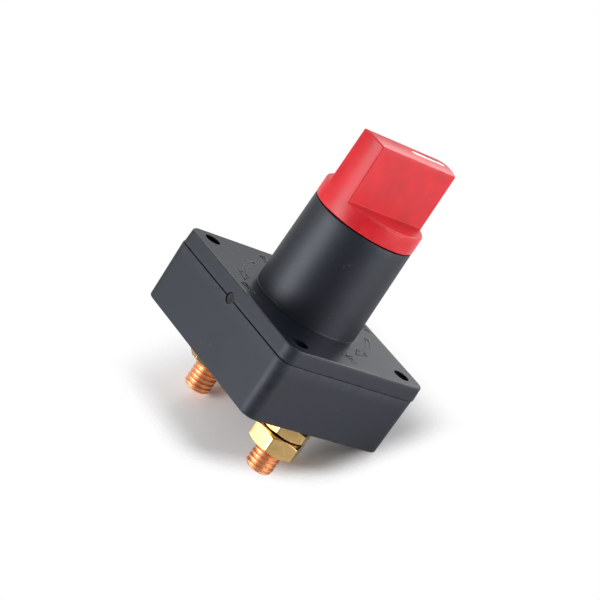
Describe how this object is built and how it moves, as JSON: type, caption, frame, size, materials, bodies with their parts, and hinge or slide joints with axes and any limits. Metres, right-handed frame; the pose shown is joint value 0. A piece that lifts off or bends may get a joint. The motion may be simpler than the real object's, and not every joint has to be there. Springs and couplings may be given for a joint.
{
  "type": "rotary battery disconnect switch",
  "caption": "Rotary battery disconnect switch with a red turn knob on a black tower, a flat flange base and copper studs with brass nuts",
  "frame": {"origin": "centre of the rear face of the terminal box, on the knob axis", "axes": "+Z along the knob axis from the rear face to the knob, +X along the line of the two studs, +Y along the grip bar as drawn"},
  "size_m": [0.0754, 0.0646, 0.1169],
  "materials": {
    "black_plastic": "moulded glass-filled nylon, fine satin grain",
    "red_plastic": "moulded red plastic, soft satin",
    "white_paint": "flat white filling",
    "copper": "bright turned copper",
    "brass": "bright machined brass",
    "black_rubber": "plain rubber",
    "natural_nylon": "uncoloured moulded nylon",
    "zinc_steel": "zinc-plated steel"
  },
  "bodies": {
    "housing": {"terminal_box": "black_plastic", "cover": "black_plastic", "cover_seal": "black_rubber", "locking_pin_front": "black_plastic", "locking_pin_back": "black_plastic", "stud_left": "copper", "stud_right": "copper", "stud_seal_left": "black_rubber", "stud_seal_right": "black_rubber", "inner_nut_left": "brass", "inner_nut_right": "brass", "outer_nut_left": "brass", "outer_nut_right": "brass", "return_spring": "zinc_steel"},
    "knob_set": {"knob": "red_plastic", "pointer_inlay": "white_paint", "stem_seal": "black_rubber", "thrust_washer": "natural_nylon", "knob_insert": "brass", "drive_screw": "zinc_steel", "drive_cam": "natural_nylon"},
    "carrier": {"contact_carrier": "natural_nylon", "contact_spring": "zinc_steel"},
    "bridge": {"contact_bridge": "copper"}
  },
  "joints": [
    {"name": "knob_turn", "type": "hinge", "parent": "housing", "child": "knob_set", "pos_m": [0, 0, 0.0643], "axis": [0, 0, -1], "range_deg": [0, 90]},
    {"name": "carrier_slide", "type": "slide", "parent": "housing", "child": "carrier", "axis": [0, 0, -1], "range_m": [0, 0.003], "deforming": ["return_spring"]},
    {"name": "bridge_float", "type": "slide", "parent": "carrier", "child": "bridge", "axis": [0, 0, 1], "range_m": [0, 0.0008], "stiffness_N_per_m": 1500, "deforming": ["contact_spring"]}
  ],
  "couplings": [
    {"joint": "knob_turn", "follows": "carrier_slide", "rad_per_m": 523.6}
  ]
}
